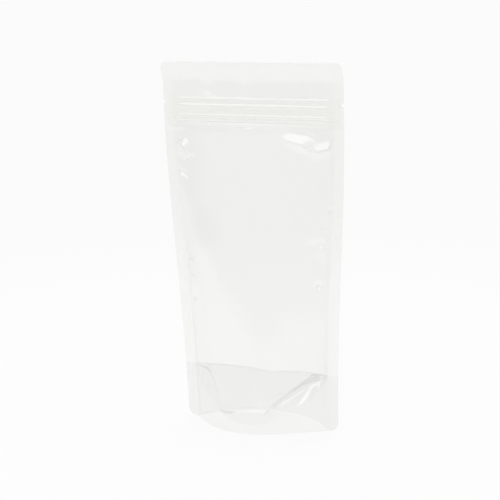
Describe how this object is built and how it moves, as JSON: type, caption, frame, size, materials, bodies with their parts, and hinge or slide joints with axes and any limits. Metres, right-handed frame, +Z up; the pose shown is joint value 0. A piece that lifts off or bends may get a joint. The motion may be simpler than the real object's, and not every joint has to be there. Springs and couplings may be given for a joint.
{
  "type": "stand-up pouch",
  "caption": "Clear film stand-up pouch, empty, with a pressed-shut zip, flat header, tear notches and an opened bottom gusset.",
  "frame": {"origin": "middle of the foot, on the surface that the pouch stands on", "axes": "+Z up the pouch to its open end, +X along its width, -Y towards the front panel"},
  "size_m": [0.12, 0.0445, 0.24],
  "materials": {
    "clear_film": "thin, clear, glossy laminate of polyester and polyethylene, colourless, a little milky where it is welded",
    "zip_plastic": "natural, slightly cloudy extruded polyethylene"
  },
  "bodies": {
    "root": {"front_panel": "clear_film", "back_panel": "clear_film", "bottom_gusset": "clear_film", "zipper_rib_strip": "zip_plastic", "zipper_groove_strip": "zip_plastic"}
  },
  "joints": []
}
